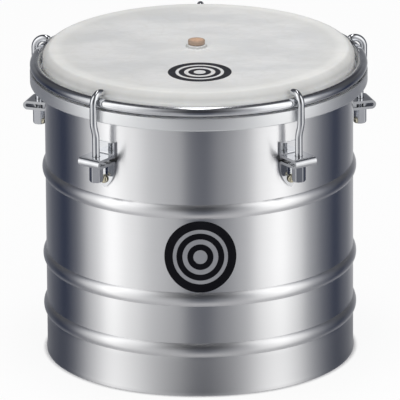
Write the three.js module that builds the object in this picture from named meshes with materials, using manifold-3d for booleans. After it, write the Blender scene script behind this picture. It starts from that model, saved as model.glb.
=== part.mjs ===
// Cuica, a friction drum. A beaded aluminium shell carries a skin head, which five claw hooks
// pull down over its bearing edge. A bamboo stick is tied to the middle of the skin and hangs
// inside the shell, where the player's hand reaches it through the open bottom.
// Millimetres, +Z up. The drum stands on its bottom rim at z = 0.

import * as THREE from 'three';
import { mergeVertices } from 'three/addons/utils/BufferGeometryUtils.js';
import Module from 'manifold-3d';

const wasm = await Module();
wasm.setup();

// Facets of a full turn, of a rod and of a small round piece, and steps of an arc
const drumFacets = 60;
const rodFacets = 8;
const smallFacets = 12;
const arcSteps = 4;

// Clearances: between touching pieces, between sliding skins, and past the faces of a cut
const fitGap = 0.3;
const slideGap = 0.4;
const overrun = 2;

// Shell: a spun cylinder with three outward beads, a rolled bearing edge and a folded hem
const shellRadius = 127;
const shellHeight = 257.8;
const shellWall = 1.4;
const bearingRollRadius = 6.1;
const beadHeight = 12;
const beadDepth = 2.6;
const firstBeadHeight = 39.7;
const beadPitch = 43.8;
const beadBelowLug = 7.9;
const hemHeight = 4;
const hemFlare = 0.5;
const hemLand = 2.3;
const hemRounding = 0.6;

// Skin head, its collar round the flesh hoop, and how far the skirt hangs below the shoulder
const skinThickness = 1.1;
const skirtDrop = 13.5;
const collarHeight = 14;
const tuckDepth = 6;

// Flesh hoop: a rolled channel, open at the top, that the skin is tucked into
const fleshHoopDepth = 8.7;
const fleshHoopHeight = 10.4;
const fleshHoopWall = 1.6;
const innerWallDrop = 1.7;

// Counter hoop: a ring of round rod on top of the flesh hoop
const counterHoopRod = 8.8;
const counterHoopDrop = 11.8;

// Tension stations round the drum
const stationCount = 5;
const stationStart = Math.PI / 2;

// Hook: a bent rod, from its thread in the nut up to the loop over the counter hoop, which has a
// little play round it
const hookRod = 6;
const hookStandoff = 12.8;
const threadEndInset = 1.3;
const jogStart = 15.1;
const jogHeight = 15;
const jogSteps = 6;
const loopPlay = 1;
const loopAngle = THREE.MathUtils.degToRad(108);
const loopSteps = 7;

// Tension nut: a tall hexagon under the lug
const nutFlats = 10;
const nutHeight = 13.6;
const nutChamfer = 1.1;
const threadClearance = 0.3;

// Lug: one folded strip, with a leg above and a leg below a double arm
const lugDrop = 55.9;
const lugReach = 23.5;
const lugWidth = 20.6;
const lugThickness = 2.2;
const lugArmHeight = 7.5;
const lugUpperLeg = 10.4;
const lugLowerLeg = 21.9;
const lugTopDip = 1.2;
const lugTaperStart = 2.5;
const lugTaperFullness = 0.62;
const lugBendRadius = 2.2;
const hookHoleClearance = 0.5;

// Screw through the lower leg and the shell, with its washer and nut inside the drum
const screwAboveTip = 7.6;
const screwDiameter = 4;
const screwHeadDiameter = 7.2;
const screwHeadHeight = 2.6;
const screwHeadEdge = 1;
const screwTail = 1.2;
const washerDiameter = 10;
const washerThickness = 1;
const innerNutFlats = 7;
const innerNutHeight = 3.2;

// Bamboo stick with its knob over the skin and its joints along the shaft
const stickOffset = -1.7;
const stickDiameter = 9.5;
const stickFootHeight = 48;
const stickJointPitch = 62;
const stickJointBulge = 0.7;
const stickJointHeight = 3;
const stickFootBevel = 0.8;
const knobDiameter = 14;
const knobHeight = 3.4;
const knobRounding = 0.7;
const knobLift = 2.8;

// Skin nub that is drawn up round the stick, and the thread that binds its tail below the head
const nubDiameter = 18.4;
const nubTopDiameter = 15.4;
const nubRounding = 1.3;
const nubDepth = 4.6;
const tailLength = 8;
const tailThickness = 1.1;
const threadDiameter = 1;
const threadGap = 0.45;
const threadTurns = 4;
const stepsPerTurn = 24;
const threadFacets = 6;

// Radii and heights that follow from the driving dimensions
const skirtInner = shellRadius + fitGap;
const skirtOuter = skirtInner + skinThickness;
const collarInner = skirtOuter + slideGap;
const collarOuter = collarInner + skinThickness;
const fleshHoopInner = collarOuter + fitGap;
const fleshHoopOuter = fleshHoopInner + fleshHoopDepth;
const counterHoopRadius = fleshHoopOuter - counterHoopRod / 2;
const counterHoopHeight = shellHeight - counterHoopDrop;
const fleshHoopTop = counterHoopHeight - counterHoopRod / 2 - fitGap;
const headUnderside = shellHeight + fitGap;
const headTop = headUnderside + skinThickness;

const loopRadius = counterHoopRod / 2 + loopPlay + hookRod / 2;
const hookInner = shellRadius + hookStandoff;
const hookOuter = counterHoopRadius + loopRadius;

const lugTop = shellHeight - lugDrop;
const lugArmUnderside = lugTop - lugArmHeight;
const lugTip = lugArmUnderside - lugLowerLeg;
const lugSeat = shellRadius + fitGap;
const lugLegInner = Math.sqrt(lugSeat ** 2 - (lugWidth / 2) ** 2);
const lugLegOuter = lugLegInner + lugThickness;
const lugOuter = shellRadius + lugReach;
const screwHeight = lugTip + screwAboveTip;
const screwHole = screwDiameter + 2 * fitGap;

const nutTop = lugArmUnderside - fitGap;
const nutBottom = nutTop - nutHeight;

const nubHoleDiameter = nubDiameter + 2 * fitGap;
const knobBottom = headTop + knobLift + fitGap;
const knobTop = knobBottom + knobHeight;

// The back lug reaches further from the drum's axis than the hoop does at the front, so the
// axis stands forward of the origin, which is the middle of the whole outline
const axisShift = (fleshHoopOuter - lugOuter) / 2;

// A closed geometry as a solid for cutting and joining
function solidFrom(geometry) {
  const bare = geometry.clone();
  bare.deleteAttribute('normal');
  bare.deleteAttribute('uv');
  const merged = mergeVertices(bare);
  return new wasm.Manifold(new wasm.Mesh({
    numProp: 3,
    vertProperties: new Float32Array(merged.attributes.position.array),
    triVerts: new Uint32Array(merged.index.array),
  }));
}

// The geometry of a solid
function geometryFrom(solid) {
  const mesh = solid.getMesh();
  const geometry = new THREE.BufferGeometry();
  geometry.setAttribute('position', new THREE.BufferAttribute(mesh.vertProperties, 3));
  geometry.setIndex(new THREE.BufferAttribute(mesh.triVerts, 1));
  geometry.computeVertexNormals();
  return geometry;
}

// First solid less all the others
function cut(body, ...tools) {
  return geometryFrom(tools.reduce((rest, tool) => rest.subtract(solidFrom(tool)), solidFrom(body)));
}

// A closed (radius, height) outline, turned about the vertical axis with its faces out
function revolve(outline, facets) {
  const points = outline.map(([radius, height]) => new THREE.Vector2(radius, height));
  if (THREE.ShapeUtils.isClockWise(points)) points.reverse();
  const geometry = new THREE.LatheGeometry([...points, points[0]], facets);
  geometry.rotateX(Math.PI / 2);
  return geometry;
}

// An upright cylinder between two heights
function upright(diameter, low, high, facets) {
  const geometry = new THREE.CylinderGeometry(diameter / 2, diameter / 2, high - low, facets);
  geometry.rotateX(Math.PI / 2);
  geometry.translate(0, 0, (low + high) / 2);
  return geometry;
}

// The same cylinder laid along the radial direction of a station
function radial(geometry, height) {
  geometry.rotateY(Math.PI / 2);
  geometry.translate(0, 0, height);
  return geometry;
}

// Points of an arc, with both ends
function arc(centre, radius, from, to, steps) {
  return Array.from({ length: steps + 1 }, (_, i) => {
    const angle = from + (to - from) * i / steps;
    return [centre[0] + radius * Math.cos(angle), centre[1] + radius * Math.sin(angle)];
  });
}

// A route in the upright plane of a station that is sampled at its own stops, so that straight
// stretches take one step and bends take several
class Route extends THREE.Curve {
  constructor(stops) {
    super();
    this.stops = stops;
  }
  getUtoTmapping(u) {
    return u;
  }
  getPoint(t) {
    const place = t * (this.stops.length - 1);
    const index = Math.min(Math.floor(place), this.stops.length - 2);
    return this.stops[index].clone().lerp(this.stops[index + 1], place - index);
  }
  getTangent(t) {
    const index = Math.round(t * (this.stops.length - 1));
    const before = this.stops[Math.max(index - 1, 0)];
    const after = this.stops[Math.min(index + 1, this.stops.length - 1)];
    const here = this.stops[index];
    const arriving = index > 0 ? here.clone().sub(before).normalize() : new THREE.Vector3();
    const leaving = after.clone().sub(here).normalize();
    return arriving.add(leaving).normalize();
  }
}

// A round rod along a list of stops
function rodAlong(stops, diameter, facets) {
  const section = new THREE.Shape();
  section.setFromPoints(arc([0, 0], diameter / 2, 0, 2 * Math.PI, facets)
    .slice(0, facets).map(([x, y]) => new THREE.Vector2(x, y)));
  return new THREE.ExtrudeGeometry(section, {
    extrudePath: new Route(stops), steps: stops.length - 1, curveSegments: facets,
  });
}

// An outline in the (sideways, up) plane of a station as a block along its radial direction
function blockAlongRadius(shape, inner, outer) {
  const geometry = new THREE.ExtrudeGeometry(shape, {
    depth: outer - inner, bevelEnabled: false, curveSegments: arcSteps,
  });
  geometry.applyMatrix4(new THREE.Matrix4().makeBasis(
    new THREE.Vector3(0, 1, 0), new THREE.Vector3(0, 0, 1), new THREE.Vector3(1, 0, 0)));
  geometry.translate(inner, 0, 0);
  return geometry;
}

// Both faces of a strip whose middle line is given as [point, heading] pairs
function stripOutline(line, thickness) {
  const side = sign => line.map(([[u, z], heading]) => new THREE.Vector2(
    u - sign * Math.sin(heading) * thickness / 2, z + sign * Math.cos(heading) * thickness / 2));
  return [...side(1), ...side(-1).reverse()];
}

// A hexagon prism of a given width across its flats
function hexagon(flats, low, high) {
  return upright(flats / Math.cos(Math.PI / 6), low, high, 6);
}

function mesh(name, geometry, material) {
  const piece = new THREE.Mesh(geometry, material);
  piece.name = name;
  return piece;
}

function metal(color, roughness) {
  return new THREE.MeshStandardMaterial({ color, roughness, metalness: 1 });
}

function natural(color, roughness) {
  return new THREE.MeshStandardMaterial({ color, roughness, metalness: 0 });
}

// Outer or inner face of the beads: arcs about one centre each, from low to high
function beadFace(inset) {
  const centreDistance = ((beadHeight / 2) ** 2 - beadDepth ** 2) / (2 * beadDepth);
  const faceRadius = centreDistance + beadDepth - inset;
  const centreRadius = shellRadius - centreDistance;
  const reach = Math.asin(Math.sqrt(faceRadius ** 2 - (centreDistance - inset) ** 2) / faceRadius);
  const topBead = lugTip - beadBelowLug - beadHeight / 2;
  return [firstBeadHeight, firstBeadHeight + beadPitch, topBead].flatMap(
    height => arc([centreRadius, height], faceRadius, -reach, reach, inset ? arcSteps / 2 : arcSteps));
}

// Shell with its holes for the lug screws
function shell() {
  const rollCentre = [shellRadius - bearingRollRadius, shellHeight - bearingRollRadius];
  const hemOuter = shellRadius + hemFlare;
  const outline = [
    [hemOuter - hemLand, 0],
    [hemOuter, 0],
    [hemOuter, hemHeight - hemRounding],
    [shellRadius, hemHeight],
    ...beadFace(0),
    ...arc(rollCentre, bearingRollRadius, 0, Math.PI / 2, arcSteps),
    ...arc(rollCentre, bearingRollRadius - shellWall, Math.PI / 2, 0, arcSteps - 1),
    ...beadFace(shellWall).reverse(),
    [shellRadius - shellWall, hemHeight],
    [hemOuter - hemLand, hemHeight - hemRounding],
  ];
  const holes = stationAngles().map(angle => {
    const hole = radial(upright(screwHole, shellRadius - shellWall - overrun,
      shellRadius + overrun, smallFacets), screwHeight);
    return hole.rotateZ(angle);
  });
  return mesh('shell', cut(revolve(outline, drumFacets), ...holes), metal(0xc9cbce, 0.32));
}

function stationAngles() {
  return Array.from({ length: stationCount }, (_, i) => stationStart + i * 2 * Math.PI / stationCount);
}

// Head: flat skin, a round shoulder over the bearing edge and a skirt down the shell
function headMembrane() {
  const shoulderRadius = bearingRollRadius + fitGap;
  const centre = [skirtInner - shoulderRadius, headUnderside - shoulderRadius];
  const skirtLow = centre[1] - skirtDrop;
  const outline = [
    [0, headUnderside],
    ...arc(centre, shoulderRadius, Math.PI / 2, 0, arcSteps),
    [skirtInner, skirtLow],
    [skirtOuter, skirtLow],
    ...arc(centre, shoulderRadius + skinThickness, 0, Math.PI / 2, arcSteps),
    [0, headTop],
  ];
  const hole = upright(nubHoleDiameter, headUnderside - overrun, headTop + overrun, 2 * smallFacets);
  hole.translate(stickOffset, 0, 0);
  return mesh('head_membrane', cut(revolveDisc(outline), hole), natural(0xdedbd2, 0.6));
}

// An outline that starts and ends on the axis
function revolveDisc(outline) {
  const points = outline.map(([radius, height]) => new THREE.Vector2(radius, height));
  const geometry = new THREE.LatheGeometry(points, drumFacets);
  geometry.rotateX(Math.PI / 2);
  return geometry;
}

// The skin's edge: up inside the flesh hoop, over its inner wall and down into the channel
function headCollar() {
  const wallTop = fleshHoopTop - innerWallDrop;
  const foldTop = wallTop + fitGap + skinThickness;
  const tuckInner = fleshHoopInner + fleshHoopWall + fitGap;
  const tuckOuter = tuckInner + skinThickness;
  const tuckLow = fleshHoopTop - tuckDepth;
  const low = foldTop + fleshHoopWall - collarHeight;
  const outline = [
    [collarInner, low],
    [collarOuter, low],
    [collarOuter, wallTop + fitGap],
    [tuckInner, wallTop + fitGap],
    [tuckInner, tuckLow],
    [tuckOuter, tuckLow],
    [tuckOuter, foldTop - skinThickness / 2],
    [(collarInner + tuckOuter) / 2, foldTop],
    [collarInner, foldTop - skinThickness / 2],
  ];
  return mesh('head_collar', revolve(outline, drumFacets), natural(0xd6d2c6, 0.65));
}

function fleshHoop() {
  const bottom = fleshHoopTop - fleshHoopHeight;
  const outline = [
    [fleshHoopInner, bottom],
    [fleshHoopOuter, bottom],
    [fleshHoopOuter, fleshHoopTop],
    [fleshHoopOuter - fleshHoopWall, fleshHoopTop],
    [fleshHoopOuter - fleshHoopWall, bottom + fleshHoopWall],
    [fleshHoopInner + fleshHoopWall, bottom + fleshHoopWall],
    [fleshHoopInner + fleshHoopWall, fleshHoopTop - innerWallDrop],
    [fleshHoopInner, fleshHoopTop - innerWallDrop],
  ];
  return mesh('flesh_hoop', revolve(outline, drumFacets), metal(0xd0d2d4, 0.35));
}

function counterHoop() {
  const section = arc([counterHoopRadius, counterHoopHeight], counterHoopRod / 2,
    0, 2 * Math.PI, rodFacets).slice(0, rodFacets);
  return mesh('counter_hoop', revolve(section, drumFacets), metal(0xe4e6e8, 0.12));
}

// Hook: thread end, straight shank, jog outwards, and the loop over the counter hoop
function hook(name) {
  const stop = (radius, height) => new THREE.Vector3(radius, 0, height);
  const jogLow = lugTop + jogStart;
  const jog = Array.from({ length: jogSteps + 1 }, (_, i) => {
    const swing = (1 - Math.cos(Math.PI * i / jogSteps)) / 2;
    return stop(hookInner + (hookOuter - hookInner) * swing, jogLow + jogHeight * i / jogSteps);
  });
  const loop = arc([counterHoopRadius, counterHoopHeight], loopRadius, 0, loopAngle, loopSteps)
    .map(([radius, height]) => stop(radius, height));
  const stops = [stop(hookInner, nutBottom + threadEndInset), ...jog, ...loop];
  const tip = new THREE.SphereGeometry(hookRod / 2, rodFacets, rodFacets / 2);
  tip.rotateY(-loopAngle);
  tip.translate(loop[loopSteps].x, 0, loop[loopSteps].z);
  const rod = solidFrom(rodAlong(stops, hookRod, rodFacets)).add(solidFrom(tip));
  return mesh(name, geometryFrom(rod), metal(0xe2e4e6, 0.14));
}

// Tall hexagon nut with its lower corners turned off and two corners on the drum's radius
function tensionNut(name) {
  const corner = nutFlats / 2 / Math.cos(Math.PI / 6);
  const barrel = [
    [0, nutBottom],
    [corner - nutChamfer, nutBottom],
    [corner + fitGap, nutBottom + nutChamfer + fitGap],
    [corner + fitGap, nutTop],
    [0, nutTop],
  ].map(([radius, height]) => new THREE.Vector2(radius, height));
  const turned = new THREE.LatheGeometry(barrel, 2 * smallFacets).rotateX(Math.PI / 2);
  const blank = solidFrom(hexagon(nutFlats, nutBottom, nutTop)).intersect(solidFrom(turned));
  const bore = upright(hookRod + 2 * threadClearance, nutBottom - overrun, nutTop + overrun, smallFacets);
  const nut = mesh(name, geometryFrom(blank.subtract(solidFrom(bore))), metal(0xdddfe2, 0.16));
  nut.position.x = hookInner;
  nut.rotation.z = Math.PI / 6;
  return nut;
}

// Middle line of the folded strip, from the top of the upper leg to the tip of the lower leg
function lugLine() {
  const down = -Math.PI / 2;
  const legMiddle = lugLegInner + lugThickness / 2;
  const noseRadius = (lugArmHeight - lugThickness) / 2;
  const noseMiddle = lugOuter - lugThickness / 2 - noseRadius;
  const upperLeaf = lugTop - lugThickness / 2;
  const lowerLeaf = lugArmUnderside + lugThickness / 2;
  const bend = (centre, radius, from, turn, steps) => Array.from({ length: steps + 1 }, (_, i) => {
    const heading = from + turn * i / steps;
    const outward = heading - Math.sign(turn) * Math.PI / 2;
    return [[centre[0] + radius * Math.cos(outward), centre[1] + radius * Math.sin(outward)], heading];
  });
  const bendMiddle = legMiddle + lugBendRadius;
  return [
    [[legMiddle, lugTop + lugUpperLeg], down],
    ...bend([bendMiddle, upperLeaf + lugBendRadius], lugBendRadius, down, Math.PI / 2, arcSteps - 1),
    ...bend([noseMiddle, (upperLeaf + lowerLeaf) / 2], noseRadius, 0, -Math.PI, 2 * arcSteps),
    ...bend([bendMiddle, lowerLeaf - lugBendRadius], lugBendRadius, -Math.PI, Math.PI / 2, arcSteps - 1),
    [[legMiddle, lugTip], down],
  ];
}

// Face outline of the lug: a dipped top edge, straight sides and a pointed foot
function lugFace() {
  const half = lugWidth / 2;
  const top = lugTop + lugUpperLeg;
  const taperTop = lugArmUnderside - lugTaperStart;
  const fullHeight = THREE.MathUtils.lerp(taperTop, lugTip, lugTaperFullness);
  const face = new THREE.Shape();
  face.moveTo(-half, top);
  face.lineTo(-half, taperTop);
  face.quadraticCurveTo(-half, fullHeight, 0, lugTip);
  face.quadraticCurveTo(half, fullHeight, half, taperTop);
  face.lineTo(half, top);
  face.quadraticCurveTo(0, top - 2 * lugTopDip, -half, top);
  return face;
}

function lug(name) {
  const strip = new THREE.ExtrudeGeometry(new THREE.Shape(stripOutline(lugLine(), lugThickness)), {
    depth: lugWidth, bevelEnabled: false,
  });
  strip.rotateX(Math.PI / 2);
  strip.translate(0, lugWidth / 2, 0);
  const face = blockAlongRadius(lugFace(), lugSeat - lugThickness, lugOuter + overrun);
  const seat = upright(2 * lugSeat, lugTip - overrun, lugTop + lugUpperLeg + overrun, drumFacets);
  const hookHole = upright(hookRod + 2 * hookHoleClearance, lugArmUnderside - overrun,
    lugTop + overrun, smallFacets);
  hookHole.translate(hookInner, 0, 0);
  const screwOpening = radial(upright(screwHole, lugLegInner - overrun, lugLegOuter + overrun,
    smallFacets), screwHeight);
  const solid = solidFrom(strip).intersect(solidFrom(face));
  return mesh(name, cut(geometryFrom(solid), seat, hookHole, screwOpening), metal(0xdfe1e4, 0.15));
}

// Pan-head screw from outside the lug to past its nut inside the drum
function lugScrew(name) {
  const seat = lugLegOuter + fitGap;
  const tail = innerNutInner() - screwTail;
  const outline = [
    [0, tail],
    [screwDiameter / 2, tail],
    [screwDiameter / 2, seat],
    [screwHeadDiameter / 2, seat],
    [screwHeadDiameter / 2, seat + screwHeadEdge],
    [screwHeadDiameter / 3, seat + screwHeadHeight - screwHeadEdge / 3],
    [0, seat + screwHeadHeight],
  ].map(([radius, height]) => new THREE.Vector2(radius, height));
  const screw = new THREE.LatheGeometry(outline, smallFacets).rotateX(Math.PI / 2);
  return mesh(name, radial(screw, screwHeight), metal(0xc9b98c, 0.3));
}

// The washer is flat and bridges the hollow of the shell's inside face
function washerOuter() {
  const inner = (shellRadius - shellWall) * Math.cos(Math.PI / drumFacets);
  return Math.sqrt(inner ** 2 - (washerDiameter / 2) ** 2) - fitGap;
}

function innerNutInner() {
  return washerOuter() - washerThickness - fitGap - innerNutHeight;
}

function innerWasher(name) {
  const outer = washerOuter();
  const disc = upright(washerDiameter, outer - washerThickness, outer, smallFacets);
  const hole = upright(screwHole, outer - washerThickness - overrun, outer + overrun, smallFacets);
  return mesh(name, radial(cut(disc, hole), screwHeight), metal(0xb9bcc0, 0.35));
}

function innerNut(name) {
  const inner = innerNutInner();
  const outer = inner + innerNutHeight;
  const bore = upright(screwHole, inner - overrun, outer + overrun, smallFacets);
  return mesh(name, radial(cut(hexagon(innerNutFlats, inner, outer), bore), screwHeight),
    metal(0xb4b7bb, 0.35));
}

// Everything at one tension station, on a radius of the drum
function station(number, angle) {
  const group = new THREE.Group();
  group.rotation.z = angle;
  group.add(lug(`lug_${number}`));
  group.add(lugScrew(`lug_screw_${number}`));
  group.add(innerWasher(`screw_washer_${number}`));
  group.add(innerNut(`screw_nut_${number}`));
  group.add(hook(`hook_${number}`));
  group.add(tensionNut(`tension_nut_${number}`));
  return group;
}

// Bamboo stick: its foot hangs above the open bottom, its knob sits over the skin nub
function stick() {
  const shaft = stickDiameter / 2;
  const joints = [];
  const lastJoint = headUnderside - tailLength - stickJointPitch / 2;
  for (let height = lastJoint; height > stickFootHeight + stickJointHeight; height -= stickJointPitch) {
    joints.unshift(
      [shaft, height - stickJointHeight / 2],
      [shaft + stickJointBulge, height],
      [shaft, height + stickJointHeight / 2],
    );
  }
  const outline = [
    [0, stickFootHeight],
    [shaft - stickFootBevel, stickFootHeight],
    [shaft, stickFootHeight + stickFootBevel],
    ...joints,
    [shaft, knobBottom],
    [knobDiameter / 2 - knobRounding, knobBottom],
    [knobDiameter / 2, knobBottom + knobRounding],
    [knobDiameter / 2, knobTop - knobRounding],
    [knobDiameter / 2 - knobRounding, knobTop],
    [0, knobTop],
  ].map(([radius, height]) => new THREE.Vector2(radius, height));
  const geometry = new THREE.LatheGeometry(outline, smallFacets).rotateX(Math.PI / 2);
  return mesh('stick', geometry, natural(0xb98d5e, 0.55));
}

// Skin drawn up round the stick: a puckered nub above the head and a bound tail below it
function skinNub() {
  const inner = stickDiameter / 2 + fitGap;
  const top = knobBottom - fitGap;
  const flareLow = headUnderside - nubDepth;
  const tailLow = flareLow - tailLength;
  const outline = [
    [inner, tailLow],
    [inner + tailThickness, tailLow],
    [inner + tailThickness, flareLow - nubRounding],
    [nubDiameter / 2, flareLow + nubRounding],
    [nubDiameter / 2, headTop],
    [(nubDiameter + nubTopDiameter) / 2 / 2, top - nubRounding / 2],
    [nubTopDiameter / 2, top],
    [inner, top],
  ];
  return mesh('skin_nub', revolve(outline, 2 * smallFacets), natural(0xe0ddd3, 0.6));
}

// Least distance between the surfaces of a tube's turns, measured over its stops
function leastGap(stops, diameter, neighbours) {
  let least = Infinity;
  stops.forEach((from, i) => stops.slice(i + neighbours).forEach(to => {
    least = Math.min(least, from.distanceTo(to) - diameter);
  }));
  return least;
}

// Waxed thread wound round the tail of the nub, in one helix with straight ends
function nubBinding() {
  const radius = stickDiameter / 2 + fitGap + tailThickness + fitGap + threadDiameter / 2;
  const pitch = threadDiameter + threadGap;
  const windings = threadTurns * pitch;
  const low = headUnderside - nubDepth - tailLength / 2 - nubRounding - windings / 2;
  const turn = i => {
    const angle = i * 2 * Math.PI / stepsPerTurn;
    const height = low + pitch * i / stepsPerTurn;
    return new THREE.Vector3(radius * Math.cos(angle), radius * Math.sin(angle), height);
  };
  const stops = Array.from({ length: threadTurns * stepsPerTurn + 1 }, (_, i) => turn(i));
  const first = stops[0];
  const last = stops[stops.length - 1];
  stops.unshift(new THREE.Vector3(first.x, first.y - threadDiameter, first.z));
  stops.push(new THREE.Vector3(last.x, last.y + threadDiameter, last.z));
  const gap = leastGap(stops, threadDiameter, stepsPerTurn / 2);
  console.log(`thread binding, least gap ${gap.toFixed(3)} mm`);
  return mesh('nub_binding', rodAlong(stops, threadDiameter, threadFacets), natural(0x8a7350, 0.7));
}

const drum = new THREE.Group();
drum.name = 'cuica';
drum.position.y = axisShift;
drum.add(shell(), headMembrane(), headCollar(), fleshHoop(), counterHoop());
stationAngles().forEach((angle, i) => drum.add(station(i + 1, angle)));

const stickGroup = new THREE.Group();
stickGroup.position.x = stickOffset;
stickGroup.add(stick(), skinNub(), nubBinding());
drum.add(stickGroup);

export default drum;
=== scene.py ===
import math
import bmesh
import bpy
import numpy as np
from mathutils import Matrix, Vector, noise


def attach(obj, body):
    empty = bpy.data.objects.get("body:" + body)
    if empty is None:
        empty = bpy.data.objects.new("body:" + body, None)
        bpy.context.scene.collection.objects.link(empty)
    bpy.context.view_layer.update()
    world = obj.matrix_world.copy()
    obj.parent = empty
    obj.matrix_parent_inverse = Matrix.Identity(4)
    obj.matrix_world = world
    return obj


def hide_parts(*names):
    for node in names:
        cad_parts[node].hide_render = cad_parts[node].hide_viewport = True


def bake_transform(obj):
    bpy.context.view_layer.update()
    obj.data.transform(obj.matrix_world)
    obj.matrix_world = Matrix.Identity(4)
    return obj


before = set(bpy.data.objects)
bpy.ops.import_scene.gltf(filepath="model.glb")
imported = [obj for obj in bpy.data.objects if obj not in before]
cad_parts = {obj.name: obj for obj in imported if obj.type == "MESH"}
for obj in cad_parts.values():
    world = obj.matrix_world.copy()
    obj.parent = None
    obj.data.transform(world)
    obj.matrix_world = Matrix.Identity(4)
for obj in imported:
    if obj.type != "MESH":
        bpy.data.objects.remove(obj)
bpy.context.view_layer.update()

# Lengths below are millimetres about the drum's own axis; MM turns them into metres
MM = 0.001
AXIS_Y = -5.8
TAU = 2 * math.pi
ROUND = 288

# Shell: radius, height, wall and rolled edge, then its beads
SHELL_R, SHELL_H, WALL, ROLL = 127.0, 257.8, 1.4, 6.1
BEADS, BEAD_HEIGHT, BEAD_DEPTH = (39.7, 83.5, 158.6), 12.0, 2.6
# Skin: top, thickness, centre of the shoulder's curve, then the flat part and its drawn-up middle
HEAD_TOP, SKIN, SHOULDER_R, SHOULDER_Z = 259.2, 1.0, 120.9, 251.7
FLAT_R, PUCKER_R, SECTORS = 88.0, 24.0, 12
# Polished ring, and the satin hoop under it
RING_R, RING_Z, RING_ROD = 134.5, 246.0, 8.8
HOOP_IN, HOOP_OUT, HOOP_TOP, HOOP_LOW, HOOP_WALL = 130.2, 138.9, 241.3, 230.9, 1.6
# Hooks: rod, distance of the leg from the drum's axis, and the loop's radius and turn in degrees
HOOK_ROD, HOOK_IN, LOOP_R, LOOP_TURN = 6.0, 139.8, 8.4, 108
# Lugs: heights of the arm and the foot's tip, half width, strip, and reach of the leg and the arm
LUG_TOP, LUG_UNDER, LUG_TIP, LUG_HALF, LUG_THICK = 201.9, 194.4, 172.5, 10.3, 2.2
LEG_MIDDLE, LEG_OUT, LUG_OUT = 127.98, 129.08, 150.5
# Tension nuts, and the lug screws with the washer and the nut inside the shell
NUT_TOP, NUT_LOW, NUT_FLATS = 194.1, 180.5, 10.0
SCREW_Z, SCREW_TAIL, WASHER_OUT, INNER_NUT_OUT, INNER_NUT_FLATS = 180.1, 119.44, 125.17, 123.87, 7.0
# Stick: place, radius, foot, joints, and the knob over the skin
STICK_X, STICK_R, STICK_FOOT, JOINTS = -1.7, 4.75, 48.0, (95.1, 157.1, 219.1)
KNOB_LOW, KNOB_TOP, KNOB_R = 262.3, 265.7, 7.0
# Badge on the shell, print on the skin, and the dot and rings that both carry
BADGE_TURN, BADGE_Z, BADGE_R, BADGE_WIDE = 0.93, 120.3, 30.6, 0.965
PRINT_X, PRINT_Y, PRINT_R = 1.7, -68.0, 26.0
MARK_SHARES = ((0, 0.19), (0.36, 0.49), (0.66, 0.76))


# Mesh helpers

def add(name, data):
    obj = bpy.data.objects.new(name, data)
    bpy.context.collection.objects.link(obj)
    return obj


def smooth(obj, angle=38):
    """Smooth faces, with a sharp edge wherever two faces meet at more than the angle."""
    mesh = obj.data
    bm = bmesh.new()
    bm.from_mesh(mesh)
    bmesh.ops.recalc_face_normals(bm, faces=bm.faces)
    limit = math.radians(angle)
    for face in bm.faces:
        face.smooth = True
    for edge in bm.edges:
        edge.smooth = len(edge.link_faces) != 2 or edge.calc_face_angle(0) < limit
    bm.to_mesh(mesh)
    bm.free()
    return obj


def build(name, verts, faces, *materials, shift=True, sharp=38):
    """A mesh object from points in millimetres; shift puts the drum's axis in its place."""
    points = np.asarray(verts, float)
    if shift:
        points = points + (0, AXIS_Y, 0)
    mesh = bpy.data.meshes.new(name)
    mesh.from_pydata((points * MM).tolist(), [], faces)
    for material in materials:
        mesh.materials.append(material)
    return smooth(add(name, mesh), sharp)


def grid_faces(rows, columns, wrap_rows=False, wrap_columns=False):
    """Faces of a grid of points, row after row; either way may close on itself."""
    faces = []
    for i in range(rows - (not wrap_rows)):
        for j in range(columns - (not wrap_columns)):
            here, above = i * columns, (i + 1) % rows * columns
            after = (j + 1) % columns
            faces.append((here + j, here + after, above + after, above + j))
    return faces


def lathe(outline, steps=ROUND, centre=(0, 0), warp=None):
    """A closed (radius, height) outline turned about an upright axis."""
    verts = []
    for i in range(steps):
        angle = TAU * i / steps
        for r, z in outline:
            if warp:
                r, z = warp(r, z, angle)
            verts.append((centre[0] + r * math.cos(angle), centre[1] + r * math.sin(angle), z))
    return verts, grid_faces(steps, len(outline), True, True)


def spindle(outline, steps=64, centre=(0, 0), warp=None):
    """An open outline that starts and ends on the axis, turned into a closed solid."""
    inner = outline[1:-1]
    verts, _ = lathe(inner, steps, centre, warp)
    m = len(inner)
    faces = grid_faces(steps, m, True, False)
    low, high = len(verts), len(verts) + 1
    verts += [(*centre, outline[0][1]), (*centre, outline[-1][1])]
    for i in range(steps):
        j = (i + 1) % steps
        faces.append((low, i * m, j * m))
        faces.append((high, j * m + m - 1, i * m + m - 1))
    return verts, faces


def cylinder(name, radius, low, high, steps, centre=(0, 0)):
    """A plain cylinder to cut with."""
    outline = [(0, low), (radius, low), (radius, high), (0, high)]
    return build(name, *spindle(outline, steps, centre), shift=False)


def level_ring(z, steps, radius, middle=HOOK_IN):
    """One level ring of points; radius is a function of the angle."""
    angles = [TAU * k / steps for k in range(steps)]
    return [(middle + radius(a) * math.cos(a), radius(a) * math.sin(a), z) for a in angles]


def hexagon(flats, angle):
    """Distance from the middle of a hexagon to its side."""
    return flats / 2 / math.cos(angle % (math.pi / 3) - math.pi / 6)


def arc(centre, radius, start, end, steps):
    """Points of an arc between two angles in degrees."""
    angles = [math.radians(start + (end - start) * i / steps) for i in range(steps + 1)]
    return [(centre[0] + radius * math.cos(a), centre[1] + radius * math.sin(a)) for a in angles]


def swell(gap, height, width):
    """A smooth rise that fades with the distance from its middle."""
    return height * math.exp(-(gap / width) ** 2)


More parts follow.
